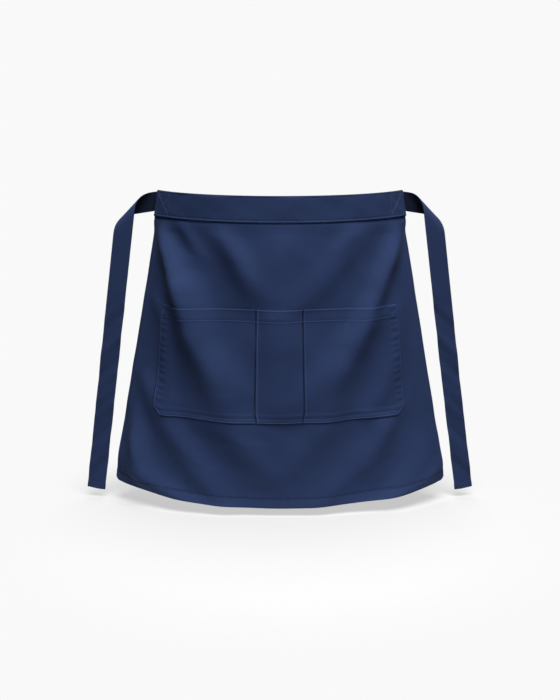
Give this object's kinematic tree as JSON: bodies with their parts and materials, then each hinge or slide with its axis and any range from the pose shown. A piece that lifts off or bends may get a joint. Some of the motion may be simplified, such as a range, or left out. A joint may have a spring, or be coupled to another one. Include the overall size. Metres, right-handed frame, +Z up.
{
  "type": "waist apron",
  "caption": "Curved waist apron with a folded waistband, a wide divided front pocket and a hanging tie at each end of the band.",
  "frame": {"origin": "middle of the waistband's inner face, at half the band's height, where it touches the wearer's waist", "axes": "+X to the right as seen from the front, +Y from the apron into the wearer, +Z up; the front faces -Y"},
  "size_m": [0.6552, 0.1276, 0.5047],
  "materials": {
    "skirt_cloth": "navy cotton twill, matte",
    "band_cloth": "navy cotton twill, folded and topstitched",
    "pocket_cloth": "navy cotton twill, topstitched",
    "tie_cloth": "navy cotton twill strap, matte",
    "seam_thread": "navy polyester sewing thread"
  },
  "bodies": {
    "root": {"skirt_panel": "skirt_cloth", "waistband": "band_cloth", "pocket_panel": "pocket_cloth", "tie_left": "tie_cloth", "tie_right": "tie_cloth"}
  },
  "joints": []
}
